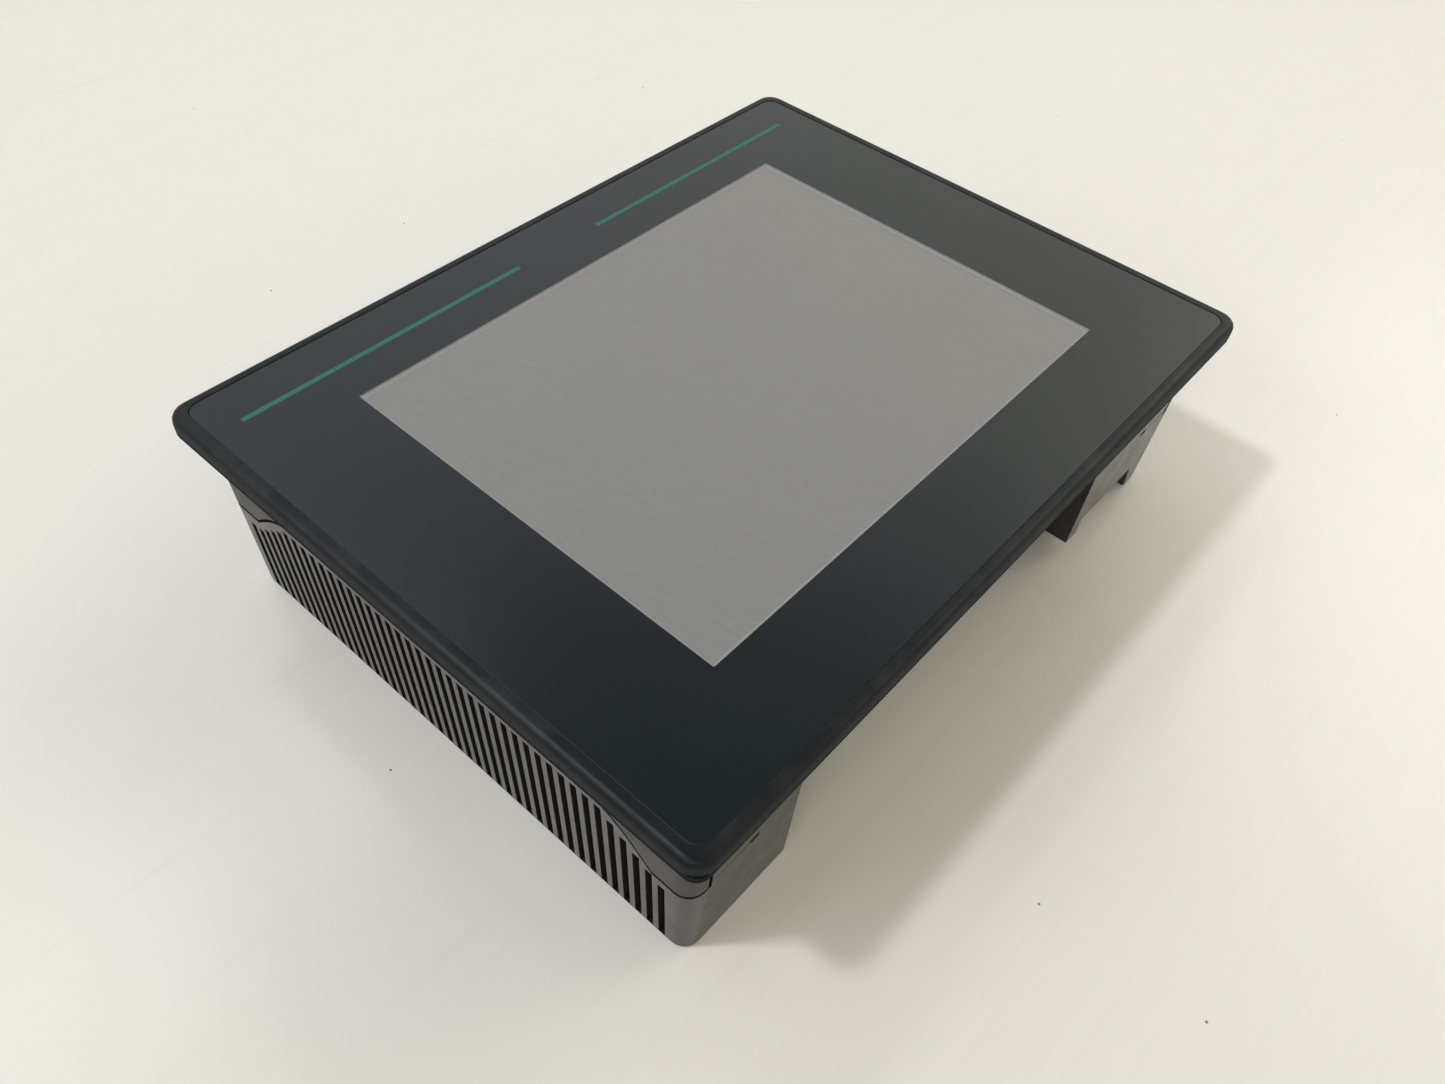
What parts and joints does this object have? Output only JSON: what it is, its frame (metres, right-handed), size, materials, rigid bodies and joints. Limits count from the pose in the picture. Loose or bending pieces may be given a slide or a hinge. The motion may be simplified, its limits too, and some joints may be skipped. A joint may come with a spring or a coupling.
{
  "type": "operator touch panel",
  "caption": "Industrial operator touch panel: dark bezel with printed foil and grey display window, gasketed flange, tapered vented rear housing with connector bay.",
  "frame": {"origin": "centre of the bounding box's base: the middle of the rear face, on the surface the panel lies on", "axes": "+Z out of the screen, +X to the right of the upright picture, +Y to its top"},
  "size_m": [0.313, 0.239, 0.0835],
  "materials": {
    "bezel_plastic": "fine matt mould texture",
    "foil_print": "matt screen-printed polyester foil",
    "window_clear": "clear, anti-glare",
    "light_foam": "light grey foam",
    "display_grey": "unlit matt polariser",
    "sheet_steel": "zinc-plated sheet",
    "plated_steel": "nickel-plated",
    "bright_aluminium": "satin",
    "white_plastic": "satin white",
    "lamp_glass": "white-coated glass tube",
    "circuit_board": "green solder resist",
    "chip_black": "black moulding compound",
    "connector_green": "moulded",
    "control_grey": "moulded",
    "card_black": "satin",
    "cable_grey": "flat flexible cable",
    "gasket_rubber": "closed-cell seal",
    "housing_plastic": "fine spark-eroded mould texture"
  },
  "bodies": {
    "root": {"backup_battery": "plated_steel", "battery_holder": "chip_black", "board_screw_1": "plated_steel", "board_screw_2": "plated_steel", "board_screw_3": "plated_steel", "board_screw_4": "plated_steel", "bracket_screw_1": "plated_steel", "bracket_screw_2": "plated_steel", "bracket_screw_3": "plated_steel", "bracket_screw_4": "plated_steel", "card_socket": "chip_black", "diffuser_sheet": "white_plastic", "display_bracket": "sheet_steel", "display_ribbon": "cable_grey", "front_foil": "foil_print", "front_frame": "bezel_plastic", "ground_nut": "plated_steel", "ground_stud": "plated_steel", "heat_sink": "bright_aluminium", "housing_screw_1": "plated_steel", "housing_screw_2": "plated_steel", "housing_screw_3": "plated_steel", "housing_screw_4": "plated_steel", "inverter_board": "circuit_board", "inverter_cable": "cable_grey", "inverter_transformer": "chip_black", "lamp_bottom": "lamp_glass", "lamp_reflector_bottom": "bright_aluminium", "lamp_reflector_top": "bright_aluminium", "lamp_top": "lamp_glass", "lcd_front_frame": "sheet_steel", "lcd_glass": "display_grey", "lcd_rear_frame": "sheet_steel", "light_guide": "white_plastic", "main_board": "circuit_board", "memory_chip_1": "chip_black", "memory_chip_2": "chip_black", "mode_switch_body": "plated_steel", "network_socket": "plated_steel", "panel_gasket": "gasket_rubber", "power_capacitor_1": "bright_aluminium", "power_capacitor_2": "bright_aluminium", "power_inductor": "chip_black", "power_socket": "connector_green", "processor": "chip_black", "rating_plate": "bright_aluminium", "rear_housing": "housing_plastic", "reset_switch_body": "chip_black", "serial_jackscrew_1": "plated_steel", "serial_jackscrew_2": "plated_steel", "serial_port": "plated_steel", "touch_gasket": "light_foam", "touch_glass": "window_clear", "touch_tail": "cable_grey", "window_film": "window_clear"},
    "mode_lever": {"mode_switch_lever": "control_grey"},
    "reset": {"reset_button": "control_grey"},
    "card": {"memory_card": "card_black"},
    "ejector": {"card_eject_button": "control_grey"}
  },
  "joints": [
    {"name": "mode_switch_slide", "type": "slide", "parent": "root", "child": "mode_lever", "axis": [1, 0, 0], "range_m": [0, 0.003]},
    {"name": "reset_button_press", "type": "slide", "parent": "root", "child": "reset", "axis": [0, 1, 0], "range_m": [0, 0.0012], "stiffness_N_per_m": 1200},
    {"name": "memory_card_slide", "type": "slide", "parent": "root", "child": "card", "axis": [0, -1, 0], "range_m": [0, 0.006]},
    {"name": "card_eject_press", "type": "slide", "parent": "root", "child": "ejector", "axis": [0, 1, 0], "range_m": [0, 0.006]}
  ],
  "couplings": [
    {"joint": "card_eject_press", "follows": "memory_card_slide", "ratio": 1}
  ]
}
